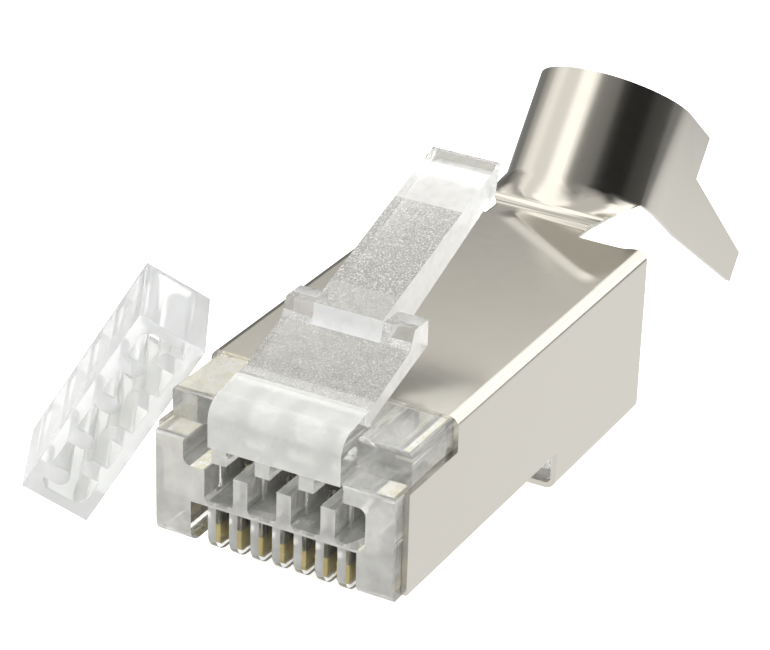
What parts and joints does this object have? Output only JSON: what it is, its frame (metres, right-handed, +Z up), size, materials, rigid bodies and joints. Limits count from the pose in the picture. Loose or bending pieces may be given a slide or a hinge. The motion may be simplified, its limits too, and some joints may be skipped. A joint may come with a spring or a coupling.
{
  "type": "modular plug",
  "caption": "Shielded modular network plug: clear body with gold blades, folded metal shield with bent-up cable collar, snap latch and loose wire guide.",
  "frame": {"origin": "on the plug's middle plane, where the plane of the mating face meets the plane that the shield's floor rests on", "axes": "+Y from the mating face back to the cable end, +X to the right as seen from the front, +Z up with the latch on top and the contacts below"},
  "size_m": [0.0207, 0.0373, 0.014],
  "materials": {
    "clear_plastic": "clear moulded polycarbonate",
    "gold_plate": "gold-plated",
    "nickel_sheet": "nickel-plated, softly polished"
  },
  "bodies": {
    "plug": {"housing": "clear_plastic", "shield": "nickel_sheet", "contact_1": "gold_plate", "contact_2": "gold_plate", "contact_3": "gold_plate", "contact_4": "gold_plate", "contact_5": "gold_plate", "contact_6": "gold_plate", "contact_7": "gold_plate", "contact_8": "gold_plate", "load_bar": "clear_plastic"},
    "latch_arm": {"latch": "clear_plastic"}
  },
  "joints": [
    {"name": "latch_hinge", "type": "hinge", "parent": "plug", "child": "latch_arm", "pos_m": [0, 0.0023, 0.00838], "axis": [-1, 0, 0], "range_deg": [0, 12], "stiffness_Nm_per_rad": 0.02}
  ]
}
